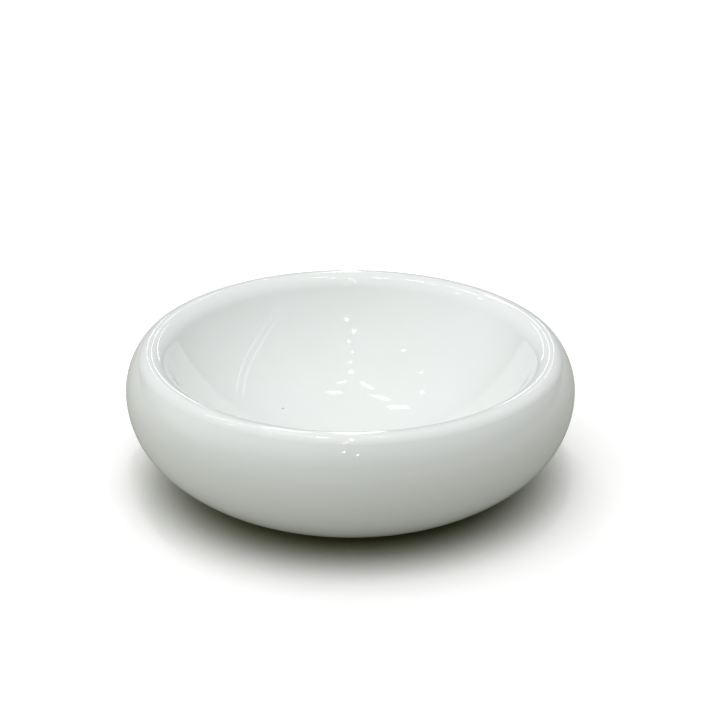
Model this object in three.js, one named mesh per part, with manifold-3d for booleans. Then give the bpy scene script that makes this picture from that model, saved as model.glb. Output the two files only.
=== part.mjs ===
// A round porcelain dish with a hollow wall: an inner bowl with a rolled rim, an outer wall with the base,
// a foot ring and a soft stopper in the vent of the hollow wall. Millimetres, +Z up, the foot on Z = 0.
import * as THREE from 'three';
import { mergeVertices } from 'three/addons/utils/BufferGeometryUtils.js';
import Module from 'manifold-3d';

const wasm = await Module();
wasm.setup();

const degrees = Math.PI / 180;
const quarterTurn = 90 * degrees;

// Driving dimensions of the whole dish.
const outerRadius = 100;
const height = 62.5;
const shell = 5;
const jointGap = 0.3;

// Outside: rim roll, shoulder, belly and lower wall, each an arc that runs on smoothly from the last.
// Angles are those of the wall's normal, measured from straight up.
const rimRadius = 6.6;
const shoulderRadius = 27.4;
const bellyRadius = 37;
const lowerRadius = 62;
const shoulderAngle = 53.5 * degrees;
const equatorAngle = 90 * degrees;
const bellyAngle = 134 * degrees;

// Inside: the rim rolls over into a sloping wall that sweeps into a shallow floor.
// Angles are the normal's lean towards the axis.
const rollRadius = 10;
const wallAngle = 60 * degrees;
const floorAngle = 20 * degrees;
const floorThickness = 5;
const seatRadius = 18;

// Foot and base.
const footHeight = 2.5;
const footOuterRadius = 60;
const footInnerRadius = 52;
const footChamfer = 0.6;
const baseThickness = 5;

// Vent through the base, and its stopper.
const ventPosition = 38;
const ventRadius = 2.5;
const plugHeadRadius = 4;
const plugHeadThickness = 1;
const plugTail = 1.5;
const plugTaper = 0.4;

// Facets.
const dishSegments = 64;
const ventSegments = 24;
const arcStep = 7.5 * degrees;
const bowlArcStep = 3 * degrees;
const hiddenRimStep = 15 * degrees;
const samePoint = 0.03;

// Centres of the outside arcs, from the rim inwards and downwards.
const equatorHeight = height - rimRadius - (shoulderRadius - rimRadius) * Math.cos(shoulderAngle);
const shoulderCentre = new THREE.Vector2(outerRadius - shoulderRadius, equatorHeight);
const rimCentre = onNormal(shoulderCentre, shoulderRadius - rimRadius, shoulderAngle);
const bellyCentre = new THREE.Vector2(outerRadius - bellyRadius, equatorHeight);
const lowerCentre = onNormal(bellyCentre, bellyRadius - lowerRadius, bellyAngle);

// The inside wall and floor arcs meet the rim's inward roll, the floor's height on the axis and each other.
const floorHeight = footHeight + baseThickness + jointGap + floorThickness;
const rollCentre = new THREE.Vector2(rimCentre.x, height - rollRadius);
const wallTop = onNormal(rollCentre, rollRadius, -wallAngle);
const halfFloorTangent = Math.tan(floorAngle / 2);
const wallSine = Math.sin(wallAngle) - Math.sin(floorAngle);
const wallDrop = Math.cos(floorAngle) - Math.cos(wallAngle);
const wallRise = wallTop.y - floorHeight - wallTop.x * halfFloorTangent;
const wallRadius = wallRise / (wallDrop - wallSine * halfFloorTangent);
const floorRadius = (wallTop.x - wallRadius * wallSine) / Math.sin(floorAngle);
const floorCentre = new THREE.Vector2(0, floorHeight + floorRadius);
const wallCentre = onNormal(floorCentre, floorRadius - wallRadius, Math.PI - floorAngle);

// The point at a distance from a centre, in the direction leaning by an angle from straight up.
function onNormal(centre, distance, angle) {
  return new THREE.Vector2(centre.x + distance * Math.sin(angle), centre.y + distance * Math.cos(angle));
}

// Points along an arc, with both of its ends.
function arc(centre, radius, from, to, step = arcStep) {
  const count = Math.max(1, Math.round(Math.abs(to - from) / step));
  const points = [];
  for (let i = 0; i <= count; i += 1) {
    points.push(onNormal(centre, radius, from + (to - from) * i / count));
  }
  return points;
}

// Turns an outline about the axis. Points that arcs share are kept once.
function turned(outline, segments) {
  const clean = outline.filter((point, i) => i === 0 || point.distanceTo(outline[i - 1]) > samePoint);
  return new THREE.LatheGeometry(clean, segments);
}

// The angle at which an arc below its centre comes down to a height.
function angleAtHeight(centre, radius, level) {
  return Math.PI - Math.acos((centre.y - level) / radius);
}

// Every outline runs round its section with the solid on its left: underside first, then up the outside.

// The seat on the base, the hidden face up to the joint, then the rim and the inside face to the axis.
function innerBowlOutline() {
  const seatHeight = floorHeight - floorThickness;
  const hiddenFloorRadius = floorRadius + shell;
  const seatAngle = Math.PI - Math.asin(seatRadius / hiddenFloorRadius);
  const floorEnd = Math.PI - floorAngle;
  const wallEnd = Math.PI - wallAngle;
  return [
    new THREE.Vector2(0, seatHeight),
    new THREE.Vector2(seatRadius, seatHeight),
    ...arc(floorCentre, hiddenFloorRadius, seatAngle, floorEnd),
    ...arc(wallCentre, wallRadius + shell, floorEnd, wallEnd),
    ...arc(rollCentre, rollRadius - shell, -wallAngle, 0, hiddenRimStep),
    ...arc(rimCentre, rimRadius - shell, 0, shoulderAngle, hiddenRimStep),
    ...arc(rimCentre, rimRadius, shoulderAngle, 0),
    ...arc(rollCentre, rollRadius, 0, -wallAngle),
    ...arc(wallCentre, wallRadius, wallEnd, floorEnd, bowlArcStep),
    ...arc(floorCentre, floorRadius, floorEnd, Math.PI, bowlArcStep),
  ];
}

// The base's underside, the outside face up to the shoulder joint, then the hidden face down to the base.
function outerWallOutline() {
  const baseTop = footHeight + baseThickness;
  const hiddenShoulder = shoulderRadius - shell;
  const hiddenLower = lowerRadius - shell;
  return [
    new THREE.Vector2(0, footHeight),
    ...arc(lowerCentre, lowerRadius, angleAtHeight(lowerCentre, lowerRadius, footHeight), bellyAngle),
    ...arc(bellyCentre, bellyRadius, bellyAngle, equatorAngle),
    ...arc(shoulderCentre, shoulderRadius, equatorAngle, shoulderAngle + jointGap / shoulderRadius),
    ...arc(shoulderCentre, hiddenShoulder, shoulderAngle + jointGap / hiddenShoulder, equatorAngle),
    ...arc(bellyCentre, bellyRadius - shell, equatorAngle, bellyAngle),
    ...arc(lowerCentre, hiddenLower, bellyAngle, angleAtHeight(lowerCentre, hiddenLower, baseTop)),
    new THREE.Vector2(0, baseTop),
  ];
}

// A flat land between two chamfers, and a flat top under the base.
function footRingOutline() {
  const top = footHeight - jointGap;
  return [
    new THREE.Vector2(footInnerRadius, top),
    new THREE.Vector2(footInnerRadius, footChamfer),
    new THREE.Vector2(footInnerRadius + footChamfer, 0),
    new THREE.Vector2(footOuterRadius - footChamfer, 0),
    new THREE.Vector2(footOuterRadius, footChamfer),
    new THREE.Vector2(footOuterRadius, top),
    new THREE.Vector2(footInnerRadius, top),
  ];
}

// A flat head under the base and a shank that tapers beyond the vent into the hollow wall.
function ventPlugOutline() {
  const headTop = footHeight - jointGap;
  const headBottom = headTop - plugHeadThickness;
  const shankRadius = ventRadius - jointGap;
  const tailTop = footHeight + baseThickness + plugTail;
  return [
    new THREE.Vector2(0, headBottom),
    new THREE.Vector2(plugHeadRadius, headBottom),
    new THREE.Vector2(plugHeadRadius, headTop),
    new THREE.Vector2(shankRadius, headTop),
    new THREE.Vector2(shankRadius - plugTaper, tailTop),
    new THREE.Vector2(0, tailTop),
  ];
}

function toSolid(geometry) {
  const bare = geometry.clone();
  bare.deleteAttribute('normal');
  bare.deleteAttribute('uv');
  const merged = mergeVertices(bare);
  return new wasm.Manifold(new wasm.Mesh({
    numProp: 3,
    vertProperties: new Float32Array(merged.attributes.position.array),
    triVerts: new Uint32Array(merged.index.array),
  }));
}

function toGeometry(solid) {
  const mesh = solid.getMesh();
  const geometry = new THREE.BufferGeometry();
  geometry.setAttribute('position', new THREE.BufferAttribute(mesh.vertProperties, 3));
  geometry.setIndex(new THREE.BufferAttribute(mesh.triVerts, 1));
  geometry.computeVertexNormals();
  return geometry;
}

// The outer wall with its vent hole cut through the base.
function ventedWall() {
  const drillLength = 2 * (footHeight + baseThickness);
  const drill = upright(new THREE.CylinderGeometry(ventRadius, ventRadius, drillLength, ventSegments));
  drill.translate(ventPosition, 0, footHeight);
  const wall = upright(turned(outerWallOutline(), dishSegments));
  return toGeometry(toSolid(wall).subtract(toSolid(drill)));
}

// Lathes and cylinders are made about Y; the dish stands on Z.
function upright(geometry) {
  return geometry.rotateX(quarterTurn);
}

function piece(name, geometry, look) {
  const mesh = new THREE.Mesh(geometry, new THREE.MeshStandardMaterial(look));
  mesh.name = name;
  return mesh;
}

const glaze = { color: 0xe9eeea, roughness: 0.06, metalness: 0 };
const bisque = { color: 0xe6e1d6, roughness: 0.75, metalness: 0 };
const rubber = { color: 0xd9d9d6, roughness: 0.6, metalness: 0 };

const dish = new THREE.Group();
dish.add(piece('inner_bowl', upright(turned(innerBowlOutline(), dishSegments)), glaze));
dish.add(piece('outer_wall', ventedWall(), glaze));
dish.add(piece('foot_ring', upright(turned(footRingOutline(), dishSegments)), bisque));

const ventPlug = piece('vent_plug', upright(turned(ventPlugOutline(), ventSegments)), rubber);
ventPlug.position.x = ventPosition;
dish.add(ventPlug);

export default dish;
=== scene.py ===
"""A white glazed porcelain dish with a hollow wall, on a pale floor in soft light. Metres, +Z up."""
import math

import bmesh
import bpy
from mathutils import Matrix, Quaternion, Vector


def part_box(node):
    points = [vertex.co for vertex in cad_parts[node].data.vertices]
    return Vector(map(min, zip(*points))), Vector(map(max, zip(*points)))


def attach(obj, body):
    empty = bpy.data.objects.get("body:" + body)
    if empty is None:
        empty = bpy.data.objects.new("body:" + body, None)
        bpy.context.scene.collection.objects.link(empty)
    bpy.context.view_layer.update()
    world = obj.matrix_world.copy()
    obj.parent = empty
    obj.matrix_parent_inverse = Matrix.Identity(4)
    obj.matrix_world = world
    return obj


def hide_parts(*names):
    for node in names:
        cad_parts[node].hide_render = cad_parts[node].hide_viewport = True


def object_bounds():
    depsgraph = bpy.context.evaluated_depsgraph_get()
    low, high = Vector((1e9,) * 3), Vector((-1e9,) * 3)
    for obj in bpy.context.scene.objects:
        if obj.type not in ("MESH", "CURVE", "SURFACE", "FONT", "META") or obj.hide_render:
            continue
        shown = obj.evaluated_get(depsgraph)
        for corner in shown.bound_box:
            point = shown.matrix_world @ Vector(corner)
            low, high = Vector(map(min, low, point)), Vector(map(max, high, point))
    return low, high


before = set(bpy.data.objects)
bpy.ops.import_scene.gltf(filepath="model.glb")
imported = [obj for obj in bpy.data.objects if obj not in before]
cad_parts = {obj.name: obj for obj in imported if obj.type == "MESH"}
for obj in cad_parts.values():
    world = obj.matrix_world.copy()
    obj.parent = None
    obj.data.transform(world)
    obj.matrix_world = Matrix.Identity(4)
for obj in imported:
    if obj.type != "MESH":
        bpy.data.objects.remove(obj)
cad_low, cad_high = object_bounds()
MM = 0.001

# The dish's size comes from the frame.
OUTER_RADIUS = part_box("outer_wall")[1].x
HEIGHT = cad_high.z
BASE_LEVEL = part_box("outer_wall")[0].z
FOOT_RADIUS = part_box("foot_ring")[1].x
FOOT_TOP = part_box("foot_ring")[1].z

# Arcs of the outside, as in the CAD part. An angle is the lean of the wall's normal from straight up.
SHELL = 5 * MM
RIM_RADIUS = 6.6 * MM
SHOULDER_RADIUS = 27.4 * MM
BELLY_RADIUS = 37 * MM
LOWER_RADIUS = 62 * MM
SHOULDER_ANGLE = math.radians(53.5)
EQUATOR_ANGLE = math.radians(90)
BELLY_ANGLE = math.radians(134)

# Arcs of the inside, with the lean of the normal towards the axis.
ROLL_RADIUS = 10 * MM
WALL_ANGLE = math.radians(60)
FLOOR_ANGLE = math.radians(20)
BASE_THICKNESS = 5 * MM
JOINT_GAP = 0.3 * MM
FLOOR_LEVEL = BASE_LEVEL + BASE_THICKNESS + JOINT_GAP + SHELL
SEAT_RADIUS = 18 * MM

# Pieces under the base.
FOOT_INNER_RADIUS = 52 * MM
FOOT_EDGE = 0.6 * MM
VENT_X = 38 * MM
VENT_RADIUS = 2.5 * MM
DRILL_OVERSHOOT = 2.5 * MM
PLUG_HEAD_RADIUS = 4 * MM
PLUG_TAPER = 0.4 * MM

# Mesh fineness. The visible joint is a hairline, because the glaze runs over it.
HAIRLINE = 0.01 * MM
SAME_POINT = 0.001 * MM
SEGMENTS = 256
SMALL_SEGMENTS = 64
FACE_SPACING = 1.5 * MM
RIM_SPACING = 0.4 * MM
HIDDEN_SPACING = 4 * MM
EDGE_SPACING = 0.1 * MM
SHARP = math.radians(35)

# Noise: the middle range that a material stretches over its own, and the detail of each kind.
NOISE_MIDDLE = (0.3, 0.7)
DETAIL_NONE = 0.0
DETAIL_LOW = 1.0
DETAIL_SOFT = 2.0
DETAIL_GRAINY = 3.0
DETAIL_FINE = 4.0

# Glaze: colours, noise scales in repeats a metre, and heights in metres.
GLAZE_LIGHT = (0.885, 0.915, 0.90, 1)
GLAZE_DEEP = (0.87, 0.905, 0.885, 1)
GLAZE_CLOUD = 30.0
GLAZE_HAZE = 90.0
GLAZE_ROUGHNESS = (0.03, 0.07)
GLAZE_SWELL = 35.0
GLAZE_SWELL_HEIGHT = 0.15 * MM
GLAZE_PEEL = 500.0
GLAZE_PEEL_HEIGHT = 0.003 * MM
GLAZE_IOR = 1.52
SPECK_AZIMUTH = math.radians(-53)
SPECK_LEAN = math.radians(23)
SPECK_RADIUS = 0.6 * MM
SPECK_CORE = 0.6
SPECK_COLOUR = (0.45, 0.46, 0.44, 1)

# Bare porcelain on the foot, and the stopper's rubber.
BISQUE_LIGHT = (0.78, 0.75, 0.69, 1)
BISQUE_DEEP = (0.70, 0.66, 0.59, 1)
BISQUE_RUBBED = (0.42, 0.40, 0.37, 1)
BISQUE_GRAIN = 900.0
BISQUE_GRAIN_HEIGHT = 0.02 * MM
BISQUE_RUB = 70.0
BISQUE_RUB_RANGE = (0.55, 0.7)
BISQUE_RUB_MOST = 0.5
BISQUE_ROUGHNESS = (0.65, 0.85)
STOPPER_LIGHT = (0.74, 0.73, 0.70, 1)
STOPPER_DEEP = (0.60, 0.59, 0.56, 1)
STOPPER_BLOOM = 800.0
STOPPER_BLOOM_HEIGHT = 0.01 * MM
STOPPER_ROUGHNESS = (0.45, 0.65)

# Floor: its two colours as the dish sees it, its colours as the camera sees it in the open and in a painted
# shadow around the dish, and the openness to the sky at which that painted shadow is full and at which it
# ends.
FLOOR_LIGHT = (0.46, 0.465, 0.41, 1)
FLOOR_DEEP = (0.45, 0.455, 0.40, 1)
FLOOR_SEEN = (1.2, 1.2, 1.2, 1)
# The painted shadow's colour: the floor that the camera sees darkens to it where the dish shelters the
# floor.
FLOOR_PAINTED_SHADOW = (0.13, 0.135, 0.06, 1)
FLOOR_PAINTED_SHADOW_RANGE = (0.12, 0.63)
FLOOR_PAINTED_SHADOW_REACH = 3 * OUTER_RADIUS
FLOOR_FLECK = 60.0
FLOOR_SIZE = 8.0

# Light from the room, which brightens from the horizon up: a glow on the left, a softer one over the
# camera's left shoulder, and a few directions that lose a little light. All directions are an azimuth and
# an elevation in degrees.
SKY_TOP = 1.13
SKY_POWER = 0.9
SIDE_GLOW = (-90, 11)
SIDE_STRENGTH = 0.95
SIDE_POWER = 12.0
SHOULDER_GLOW = (-135, 25)
SHOULDER_STRENGTH = 0.5
DIMMED = ((-90, 45), (180, 12), (90, 12), (0, 15), (0, 50))
DIM_STRENGTH = -0.16
SOFT_POWER = 8.0

# Lamps and strips. A row of lamps has the first one's direction, the step to the next and their number, and
# its lamps stand to either side in turn. An elevation over 90 comes down on the far side. A row of strips
# has the first one's two ends, the step to the next, their number and their radiance.
LAMP_ROWS = (
    ((180, 30), (0, 5), 2),
    ((180, 58), (0, 7), 6),
    ((-40, 52), (-30, 6), 3),
)
LAMP_STAGGER = 4
LAMP_DISTANCE = 6.0
LAMP_SIZE = 0.07
LAMP_RADIANCE = 250.0
STRIP_ROWS = (
    ((24, 70), (12, 72), (0, 8), 2, 60.0),
    ((-22, 56), (-28, 50), (0, 11), 3, 60.0),
    ((-12, 12), (-12, 32), (12, 0), 3, 10.0),
    ((-2, 32), (-8, 40), (0, 0), 1, 40.0),
    ((125, 40), (40, 30), (0, 3), 2, 2.0),
)
STRIP_WIDTH = 0.05

# Camera: degrees above the dish, metres from it, lens in millimetres, where it looks beside and above the
# middle of the dish in outer radii, and its roll in degrees.
CAMERA_ELEVATION = 24.68
CAMERA_DISTANCE = 10 * OUTER_RADIUS
CAMERA_LENS = 111.76
CAMERA_AIM = (0.042, 0.1206)
CAMERA_ROLL = 0.2


def on_normal(centre, distance, angle):
    """The point at a distance from a centre, in the direction leaning by an angle from straight up."""
    return (centre[0] + distance * math.sin(angle), centre[1] + distance * math.cos(angle))


EQUATOR_LEVEL = HEIGHT - RIM_RADIUS - (SHOULDER_RADIUS - RIM_RADIUS) * math.cos(SHOULDER_ANGLE)
SHOULDER_CENTRE = (OUTER_RADIUS - SHOULDER_RADIUS, EQUATOR_LEVEL)
RIM_CENTRE = on_normal(SHOULDER_CENTRE, SHOULDER_RADIUS - RIM_RADIUS, SHOULDER_ANGLE)
BELLY_CENTRE = (OUTER_RADIUS - BELLY_RADIUS, EQUATOR_LEVEL)
LOWER_CENTRE = on_normal(BELLY_CENTRE, BELLY_RADIUS - LOWER_RADIUS, BELLY_ANGLE)

# The wall and floor arcs inside meet the rim roll, the floor's level on the axis and each other.
ROLL_CENTRE = (RIM_CENTRE[0], HEIGHT - ROLL_RADIUS)
WALL_TOP = on_normal(ROLL_CENTRE, ROLL_RADIUS, -WALL_ANGLE)
HALF_TANGENT = math.tan(FLOOR_ANGLE / 2)
WALL_SINE = math.sin(WALL_ANGLE) - math.sin(FLOOR_ANGLE)
WALL_DROP = math.cos(FLOOR_ANGLE) - math.cos(WALL_ANGLE)
WALL_RISE = WALL_TOP[1] - FLOOR_LEVEL - WALL_TOP[0] * HALF_TANGENT
WALL_RADIUS = WALL_RISE / (WALL_DROP - WALL_SINE * HALF_TANGENT)
FLOOR_RADIUS = (WALL_TOP[0] - WALL_RADIUS * WALL_SINE) / math.sin(FLOOR_ANGLE)
FLOOR_CENTRE = (0.0, FLOOR_LEVEL + FLOOR_RADIUS)
WALL_CENTRE = on_normal(FLOOR_CENTRE, FLOOR_RADIUS - WALL_RADIUS, math.pi - FLOOR_ANGLE)


def arc(centre, radius, start, end, spacing):
    """Points along an arc about spacing apart, with both of its ends."""
    count = max(2, round(abs(end - start) * radius / spacing))
    return [on_normal(centre, radius, start + (end - start) * i / count) for i in range(count + 1)]


def joined(*runs):
    """One outline from several runs, with points that two runs share kept once."""
    outline = []
    for point in (p for run in runs for p in run):
        if not outline or math.dist(point, outline[-1]) > SAME_POINT:
            outline.append(point)
    return outline


def level_angle(centre, radius, level):
    """The angle at which an arc below its centre comes down to a level."""
    return math.pi - math.acos((centre[1] - level) / radius)


def bowl_outline():
    """The inner bowl's section: its seat, the hidden face, the rolled rim and the face inside the bowl."""
    hidden_floor = FLOOR_RADIUS + SHELL
    seat_level = FLOOR_LEVEL - SHELL
    seat_angle = math.pi - math.asin(SEAT_RADIUS / hidden_floor)
    floor_end = math.pi - FLOOR_ANGLE
    wall_end = math.pi - WALL_ANGLE
    rim_start = SHOULDER_ANGLE - HAIRLINE / RIM_RADIUS
    return joined(
        [(0.0, seat_level), (SEAT_RADIUS, seat_level)],
        arc(FLOOR_CENTRE, hidden_floor, seat_angle, floor_end, HIDDEN_SPACING),
        arc(WALL_CENTRE, WALL_RADIUS + SHELL, floor_end, wall_end, HIDDEN_SPACING),
        arc(ROLL_CENTRE, ROLL_RADIUS - SHELL, -WALL_ANGLE, 0.0, RIM_SPACING),
        arc(RIM_CENTRE, RIM_RADIUS - SHELL, 0.0, SHOULDER_ANGLE, RIM_SPACING),
        [on_normal(RIM_CENTRE, RIM_RADIUS, SHOULDER_ANGLE)],
        arc(RIM_CENTRE, RIM_RADIUS, rim_start, 0.0, RIM_SPACING),
        arc(ROLL_CENTRE, ROLL_RADIUS, 0.0, -WALL_ANGLE, RIM_SPACING),
        arc(WALL_CENTRE, WALL_RADIUS, wall_end, floor_end, FACE_SPACING),
        arc(FLOOR_CENTRE, FLOOR_RADIUS, floor_end, math.pi, FACE_SPACING),
    )


def wall_outline():
    """The outer wall's section: the base's underside, the bulging face, the joint and the hidden face."""
    base_top = BASE_LEVEL + BASE_THICKNESS
    hidden_lower = LOWER_RADIUS - SHELL
    base_angle = level_angle(LOWER_CENTRE, LOWER_RADIUS, BASE_LEVEL)
    top_angle = level_angle(LOWER_CENTRE, hidden_lower, base_top)
    joint = SHOULDER_ANGLE + HAIRLINE / SHOULDER_RADIUS
    return joined(
        [(0.0, BASE_LEVEL)],
        arc(LOWER_CENTRE, LOWER_RADIUS, base_angle, BELLY_ANGLE, FACE_SPACING),
        arc(BELLY_CENTRE, BELLY_RADIUS, BELLY_ANGLE, EQUATOR_ANGLE, FACE_SPACING),
        arc(SHOULDER_CENTRE, SHOULDER_RADIUS, EQUATOR_ANGLE, 2 * joint - SHOULDER_ANGLE, FACE_SPACING),
        [on_normal(SHOULDER_CENTRE, SHOULDER_RADIUS, joint)],
        arc(SHOULDER_CENTRE, SHOULDER_RADIUS - SHELL, joint, EQUATOR_ANGLE, HIDDEN_SPACING),
        arc(BELLY_CENTRE, BELLY_RADIUS - SHELL, EQUATOR_ANGLE, BELLY_ANGLE, HIDDEN_SPACING),
        arc(LOWER_CENTRE, hidden_lower, BELLY_ANGLE, top_angle, HIDDEN_SPACING),
        [(0.0, base_top)],
    )


def foot_outline():
    """The foot ring's section: a ground flat land between two rounded edges."""
    inner_edge = (FOOT_INNER_RADIUS + FOOT_EDGE, FOOT_EDGE)
    outer_edge = (FOOT_RADIUS - FOOT_EDGE, FOOT_EDGE)
    quarter = math.pi / 2
    return joined(
        [(FOOT_INNER_RADIUS, FOOT_TOP)],
        arc(inner_edge, FOOT_EDGE, 3 * quarter, 2 * quarter, EDGE_SPACING),
        arc(outer_edge, FOOT_EDGE, 2 * quarter, quarter, EDGE_SPACING),
        [(FOOT_RADIUS, FOOT_TOP)],
    )


def plug_outline():
    """The stopper's section: a rounded flat head and a shank that tapers into the vent."""
    head_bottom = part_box("vent_plug")[0].z
    tail_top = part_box("vent_plug")[1].z
    edge = (PLUG_HEAD_RADIUS - FOOT_EDGE, head_bottom + FOOT_EDGE)
    shank = VENT_RADIUS - JOINT_GAP
    quarter = math.pi / 2
    return joined(
        [(0.0, head_bottom)],
        arc(edge, FOOT_EDGE, 2 * quarter, quarter, EDGE_SPACING),
        [(PLUG_HEAD_RADIUS, FOOT_TOP), (shank, FOOT_TOP), (shank - PLUG_TAPER, tail_top), (0.0, tail_top)],
    )


def turned(name, outline, segments):
    """A solid turned about Z from (radius, level) points that run underside first, then up the outside."""
    angles = [2 * math.pi * i / segments for i in range(segments)]
    mesh = bmesh.new()
    rings = []
    for radius, level in outline:
        if radius < HAIRLINE:
            rings.append([mesh.verts.new((0, 0, level))])
        else:
            circle = [(radius * math.cos(a), radius * math.sin(a), level) for a in angles]
            rings.append([mesh.verts.new(point) for point in circle])
    bands = list(zip(rings, rings[1:]))
    if len(rings[0]) > 1:
        bands.append((rings[-1], rings[0]))
    for low, high in bands:
        for i in range(segments):
            j = (i + 1) % segments
            corners = [low[i % len(low)], low[j % len(low)], high[j % len(high)], high[i % len(high)]]
            mesh.faces.new(dict.fromkeys(corners))
    data = bpy.data.meshes.new(name)
    mesh.to_mesh(data)
    mesh.free()
    piece = bpy.data.objects.new(name, data)
    bpy.context.scene.collection.objects.link(piece)
    return piece


def smooth(piece):
    """Smooth shading that stops at real edges."""
    piece.data.shade_smooth()
    piece.data.set_sharp_from_angle(angle=SHARP)


def cut(piece, tool):
    """Takes the tool's volume out of the piece and removes the tool."""
    modifier = piece.modifiers.new("cut", "BOOLEAN")
    modifier.object = tool
    modifier.operation = "DIFFERENCE"
    modifier.solver = "EXACT"
    with bpy.context.temp_override(object=piece, active_object=piece):
        bpy.ops.object.modifier_apply(modifier=modifier.name)
    bpy.data.objects.remove(tool)


def stands_for(piece, node, material):
    """Ties a finished piece to the CAD node that it replaces."""
    piece.data.materials.append(material)
    smooth(piece)
    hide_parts(node)
    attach(piece, "root")


class Nodes:
    """A short way to add linked shader nodes to a material or a world."""

    def __init__(self, owner):
        owner.use_nodes = True
        self.tree = owner.node_tree
        self.tree.nodes.clear()

    def add(self, kind, settings=None, **inputs):
        node = self.tree.nodes.new(kind)
        for key, value in (settings or {}).items():
            setattr(node, key, value)
        for key, value in inputs.items():
            self.feed(node.inputs[key.replace("_", " ")], value)
        return node

    def feed(self, socket, value):
        if isinstance(value, bpy.types.NodeSocket):
            self.tree.links.new(value, socket)
        else:
            socket.default_value = value


def noise(nodes, place, scale, detail=DETAIL_SOFT):
    """Smooth noise from 0 to 1 that repeats about scale times in a metre."""
    return nodes.add("ShaderNodeTexNoise", Vector=place, Scale=scale, Detail=detail).outputs["Fac"]


def mapped(nodes, value, low, high, to_low, to_high):
    """A value rescaled from one range to another, held at its ends."""
    node = nodes.add("ShaderNodeMapRange", Value=value)
    for key, number in (("From Min", low), ("From Max", high), ("To Min", to_low), ("To Max", to_high)):
        node.inputs[key].default_value = number
    return node.outputs["Result"]


def blended(nodes, amount, first, second):
    """Two colours mixed by an amount."""
    node = nodes.add("ShaderNodeMix", {"data_type": "RGBA"}, Factor=amount)
    one, other = [socket for socket in node.inputs if socket.type == "RGBA"]
    nodes.feed(one, first)
    nodes.feed(other, second)
    return next(socket for socket in node.outputs if socket.type == "RGBA")


def maths(nodes, operation, first, second):
    """One sum on two values."""
    node = nodes.add("ShaderNodeMath", {"operation": operation})
    nodes.feed(node.inputs[0], first)
    nodes.feed(node.inputs[1], second)
    return node.outputs["Value"]


def bumped(nodes, height, distance, below=None):
    """A normal that follows a height from 0 to 1, distance metres tall, over another normal if any."""
    inputs = {"Height": height, "Distance": distance}
    if below is not None:
        inputs["Normal"] = below
    return nodes.add("ShaderNodeBump", **inputs).outputs["Normal"]


def new_material(name):
    """An empty node material, its nodes, its position in the dish's frame and its main shader."""
    material = bpy.data.materials.new(name)
    nodes = Nodes(material)
    place = nodes.add("ShaderNodeTexCoord").outputs["Object"]
    shader = nodes.add("ShaderNodeBsdfPrincipled")
    output = nodes.add("ShaderNodeOutputMaterial")
    nodes.feed(output.inputs["Surface"], shader.outputs["BSDF"])
    return material, nodes, place, shader


def speck(nodes, place):
    """1 inside a small round spot on the wall inside the bowl, 0 outside, with a soft edge."""
    reach, level = on_normal(WALL_CENTRE, WALL_RADIUS, math.pi - SPECK_LEAN)
    spot = (reach * math.sin(SPECK_AZIMUTH), reach * math.cos(SPECK_AZIMUTH), level)
    gap = nodes.add("ShaderNodeVectorMath", {"operation": "DISTANCE"})
    nodes.feed(gap.inputs[0], place)
    nodes.feed(gap.inputs[1], spot)
    return mapped(nodes, gap.outputs["Value"], SPECK_CORE * SPECK_RADIUS, SPECK_RADIUS, 1.0, 0.0)


def glaze_material():
    """Clear gloss glaze on white porcelain: faint mottling, a rippled surface and one iron speck."""
    material, nodes, place, shader = new_material("white_glaze")
    cloud = mapped(nodes, noise(nodes, place, GLAZE_CLOUD), *NOISE_MIDDLE, 0.0, 1.0)
    body = blended(nodes, cloud, GLAZE_LIGHT, GLAZE_DEEP)
    nodes.feed(shader.inputs["Base Color"], blended(nodes, speck(nodes, place), body, SPECK_COLOUR))
    haze = noise(nodes, place, GLAZE_HAZE, DETAIL_FINE)
    nodes.feed(shader.inputs["Roughness"], mapped(nodes, haze, *NOISE_MIDDLE, *GLAZE_ROUGHNESS))
    swell = bumped(nodes, noise(nodes, place, GLAZE_SWELL, DETAIL_NONE), GLAZE_SWELL_HEIGHT)
    peel = bumped(nodes, noise(nodes, place, GLAZE_PEEL, DETAIL_LOW), GLAZE_PEEL_HEIGHT, swell)
    nodes.feed(shader.inputs["Normal"], peel)
    shader.inputs["IOR"].default_value = GLAZE_IOR
    return material


def bisque_material():
    """Bare ground porcelain: warmer, matte and finely grained, with grey rub marks."""
    material, nodes, place, shader = new_material("bare_porcelain")
    grain = noise(nodes, place, BISQUE_GRAIN, DETAIL_GRAINY)
    patches = noise(nodes, place, BISQUE_RUB, DETAIL_FINE)
    rubbed = mapped(nodes, patches, *BISQUE_RUB_RANGE, 0.0, BISQUE_RUB_MOST)
    body = blended(nodes, grain, BISQUE_LIGHT, BISQUE_DEEP)
    nodes.feed(shader.inputs["Base Color"], blended(nodes, rubbed, body, BISQUE_RUBBED))
    nodes.feed(shader.inputs["Roughness"], mapped(nodes, grain, *NOISE_MIDDLE, *BISQUE_ROUGHNESS))
    nodes.feed(shader.inputs["Normal"], bumped(nodes, grain, BISQUE_GRAIN_HEIGHT))
    return material


def stopper_material():
    """Soft milky rubber with a dusty bloom."""
    material, nodes, place, shader = new_material("stopper_rubber")
    bloom = noise(nodes, place, STOPPER_BLOOM, DETAIL_FINE)
    nodes.feed(shader.inputs["Base Color"], blended(nodes, bloom, STOPPER_LIGHT, STOPPER_DEEP))
    nodes.feed(shader.inputs["Roughness"], mapped(nodes, bloom, *NOISE_MIDDLE, *STOPPER_ROUGHNESS))
    nodes.feed(shader.inputs["Normal"], bumped(nodes, bloom, STOPPER_BLOOM_HEIGHT))
    return material


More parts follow.
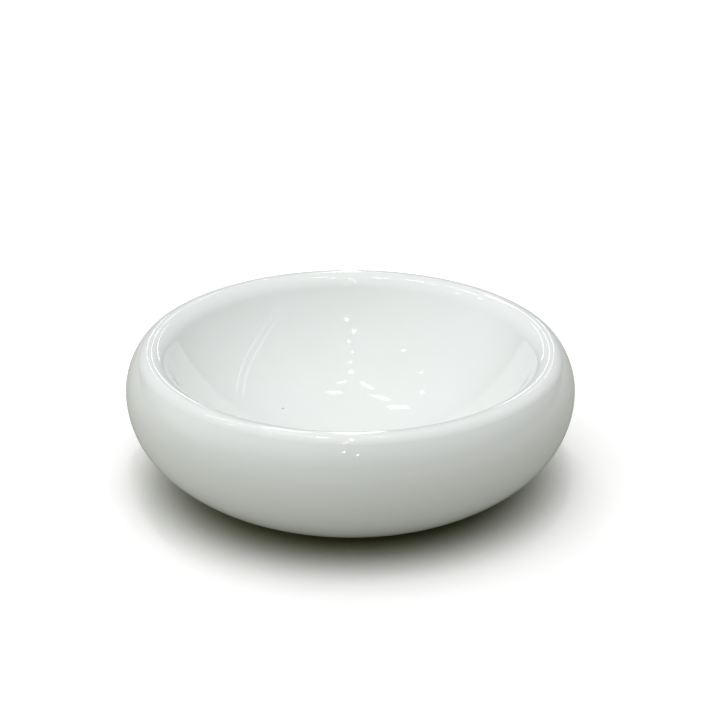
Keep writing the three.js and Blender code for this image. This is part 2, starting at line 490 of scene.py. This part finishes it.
def floor_material():
    """A pale matte sheet that the camera sees as white, with a painted shadow that darkens it where the dish
    shelters it.
    """
    material, nodes, place, shader = new_material("pale_floor")
    fleck = noise(nodes, place, FLOOR_FLECK)
    body = blended(nodes, fleck, FLOOR_LIGHT, FLOOR_DEEP)
    # Painted shadow: ambient occlusion from the dish darkens the floor colour that the camera sees.
    shelter = nodes.add("ShaderNodeAmbientOcclusion", Distance=FLOOR_PAINTED_SHADOW_REACH).outputs["AO"]
    white = blended(nodes, mapped(nodes, shelter, *FLOOR_PAINTED_SHADOW_RANGE, 0.0, 1.0), FLOOR_PAINTED_SHADOW, FLOOR_SEEN)
    seen = nodes.add("ShaderNodeLightPath").outputs["Is Camera Ray"]
    nodes.feed(shader.inputs["Base Color"], blended(nodes, seen, body, white))
    shader.inputs["Roughness"].default_value = 1.0
    shader.inputs["Specular IOR Level"].default_value = 0.0
    return material


def make_pieces():
    """The four pieces of the dish."""
    glaze = glaze_material()
    bowl = turned("glazed_bowl", bowl_outline(), SEGMENTS)
    stands_for(bowl, "inner_bowl", glaze)

    wall = turned("glazed_wall", wall_outline(), SEGMENTS)
    drill_top = BASE_LEVEL + BASE_THICKNESS + DRILL_OVERSHOOT
    drill_ends = [(0.0, 0.0), (VENT_RADIUS, 0.0), (VENT_RADIUS, drill_top), (0.0, drill_top)]
    drill = turned("vent_drill", drill_ends, SMALL_SEGMENTS)
    drill.location.x = VENT_X
    cut(wall, drill)
    stands_for(wall, "outer_wall", glaze)

    foot = turned("ground_foot", foot_outline(), SEGMENTS)
    stands_for(foot, "foot_ring", bisque_material())

    plug = turned("vent_stopper", plug_outline(), SMALL_SEGMENTS)
    for vertex in plug.data.vertices:
        vertex.co.x += VENT_X
    stands_for(plug, "vent_plug", stopper_material())


def make_floor():
    """The round sheet that the dish stands on."""
    bpy.ops.mesh.primitive_circle_add(vertices=SEGMENTS, radius=FLOOR_SIZE, fill_type="NGON")
    floor = bpy.context.object
    floor.name = "floor"
    floor.data.materials.append(floor_material())


def glow(nodes, direction, centre, strength, power):
    """Light that fades smoothly on all sides of one direction; a strength below 0 takes light away."""
    facing = nodes.add("ShaderNodeVectorMath", {"operation": "DOT_PRODUCT"})
    nodes.feed(facing.inputs[0], direction)
    nodes.feed(facing.inputs[1], centre)
    ahead = maths(nodes, "MAXIMUM", facing.outputs["Value"], 0.0)
    return maths(nodes, "MULTIPLY", maths(nodes, "POWER", ahead, power), strength)


def make_world():
    """Soft light from above and from the left, in a room that the camera sees as plain white."""
    world = bpy.data.worlds.new("soft_room")
    bpy.context.scene.world = world
    nodes = Nodes(world)
    direction = nodes.add("ShaderNodeTexCoord").outputs["Generated"]
    parts = [
        glow(nodes, direction, toward(*SIDE_GLOW), SIDE_STRENGTH, SIDE_POWER),
        glow(nodes, direction, toward(*SHOULDER_GLOW), SHOULDER_STRENGTH, SOFT_POWER),
    ]
    parts += [glow(nodes, direction, toward(*spot), DIM_STRENGTH, SOFT_POWER) for spot in DIMMED]
    light = glow(nodes, direction, Vector((0, 0, 1)), SKY_TOP, SKY_POWER)
    for part in parts:
        light = maths(nodes, "ADD", light, part)
    seen = nodes.add("ShaderNodeLightPath").outputs["Is Camera Ray"]
    strength = maths(nodes, "MAXIMUM", light, seen)
    background = nodes.add("ShaderNodeBackground", Color=(1, 1, 1, 1), Strength=strength)
    output = nodes.add("ShaderNodeOutputWorld")
    nodes.feed(output.inputs["Surface"], background.outputs["Background"])


def toward(azimuth, elevation):
    """A unit direction; azimuth 0 is away from the camera and 90 to its right."""
    a, e = math.radians(azimuth), math.radians(elevation)
    return Vector((math.sin(a) * math.cos(e), math.cos(a) * math.cos(e), math.sin(e)))


def make_light(name, shape, place, along, length, width, radiance):
    """A glowing panel of an even radiance that faces the dish, with its length along a direction."""
    data = bpy.data.lights.new(name, "AREA")
    data.shape = shape
    data.size = length
    data.size_y = width
    area = length * width * (math.pi / 4 if shape == "DISK" else 1.0)
    data.energy = radiance * area * math.pi
    light = bpy.data.objects.new(name, data)
    light.location = place
    away = place.normalized()
    side = (along - away * along.dot(away)).normalized()
    light.rotation_mode = "QUATERNION"
    light.rotation_quaternion = Matrix((side, away.cross(side), away)).transposed().to_quaternion()
    light.visible_camera = False
    bpy.context.scene.collection.objects.link(light)


def stepped(direction, step, count):
    """A direction moved on by a number of steps."""
    return (direction[0] + step[0] * count, direction[1] + step[1] * count)


def make_lamps():
    """Rows of small round lamps, whose mirror images are the round highlights in the glaze."""
    for row, (first, step, count) in enumerate(LAMP_ROWS):
        for i in range(count):
            azimuth, elevation = stepped(first, step, i)
            side = LAMP_STAGGER if i % 2 else -LAMP_STAGGER
            place = toward(azimuth + side, elevation) * LAMP_DISTANCE
            name = f"lamp_{row}_{i}"
            make_light(name, "DISK", place, Vector((1, 0, 0)), LAMP_SIZE, LAMP_SIZE, LAMP_RADIANCE)


def make_strips():
    """Rows of thin strips, whose mirror images are the long highlights in the glaze."""
    for row, (start, end, step, count, radiance) in enumerate(STRIP_ROWS):
        for i in range(count):
            first = toward(*stepped(start, step, i)) * LAMP_DISTANCE
            last = toward(*stepped(end, step, i)) * LAMP_DISTANCE
            along = last - first
            place = (first + last) / 2
            make_light(f"strip_{row}_{i}", "RECTANGLE", place, along, along.length, STRIP_WIDTH, radiance)


def make_camera():
    """The photograph's viewpoint: nearly 25 degrees above the dish, a metre away, through a long lens."""
    camera = bpy.data.objects.new("camera", bpy.data.cameras.new("camera"))
    middle = Vector((0, 0, EQUATOR_LEVEL))
    camera.location = middle + toward(180, CAMERA_ELEVATION) * CAMERA_DISTANCE
    aim = middle + Vector((CAMERA_AIM[0], 0, CAMERA_AIM[1])) * OUTER_RADIUS
    camera.rotation_mode = "QUATERNION"
    roll = Quaternion((0, 0, 1), math.radians(CAMERA_ROLL))
    camera.rotation_quaternion = (aim - camera.location).to_track_quat("-Z", "Y") @ roll
    camera.data.lens = CAMERA_LENS
    bpy.context.scene.collection.objects.link(camera)
    bpy.context.scene.camera = camera


make_pieces()
make_floor()
make_world()
make_lamps()
make_strips()
make_camera()
bpy.context.scene.view_settings.view_transform = "Standard"
